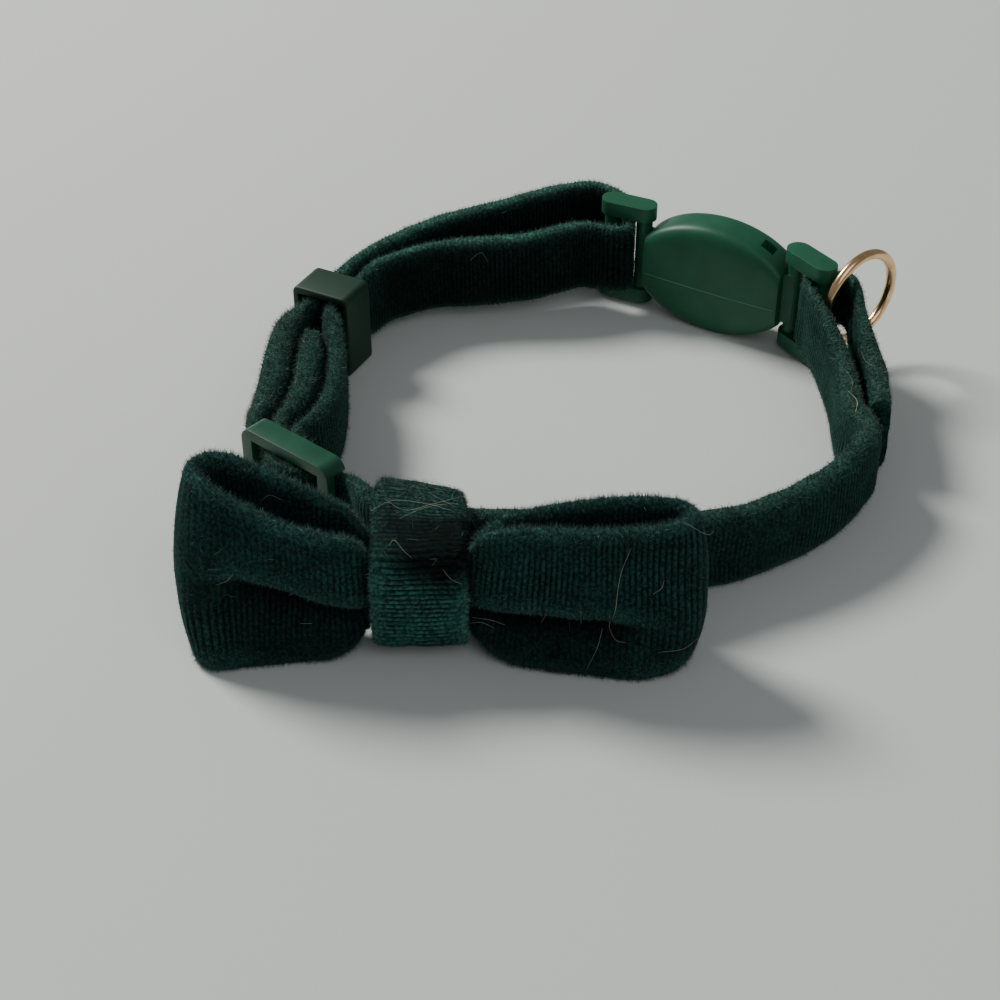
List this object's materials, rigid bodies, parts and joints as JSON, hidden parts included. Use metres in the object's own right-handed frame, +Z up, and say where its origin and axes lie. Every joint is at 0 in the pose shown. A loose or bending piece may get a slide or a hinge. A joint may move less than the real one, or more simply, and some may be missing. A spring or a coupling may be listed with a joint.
{
  "type": "pet bow tie collar",
  "caption": "Cat or small dog collar: ribbed velvet strap in a closed loop with a folded velvet bow, slider, keeper, oval side buckle and a wire tag ring.",
  "frame": {"origin": "middle of the collar's bounding box, on the surface it rests on", "axes": "+Z up; the bow faces -Y; the buckle is at the back, towards +X"},
  "size_m": [0.086, 0.0874, 0.0211],
  "materials": {
    "strap_velvet": "ribbed velvet, bottle green, hair and lint on the top edges",
    "bow_velvet": "ribbed velvet, bottle green with a teal sheen",
    "knot_velvet": "ribbed velvet, a little lighter where the pile is brushed",
    "green_plastic": "satin moulded plastic",
    "copper_wire": "polished rose-gold coloured wire"
  },
  "bodies": {
    "root": {"velvet_strap": "strap_velvet", "bow_ribbon": "bow_velvet", "knot_band": "knot_velvet", "slider": "green_plastic", "keeper": "green_plastic", "buckle_female": "green_plastic", "buckle_male": "green_plastic", "tag_ring": "copper_wire"}
  },
  "joints": []
}
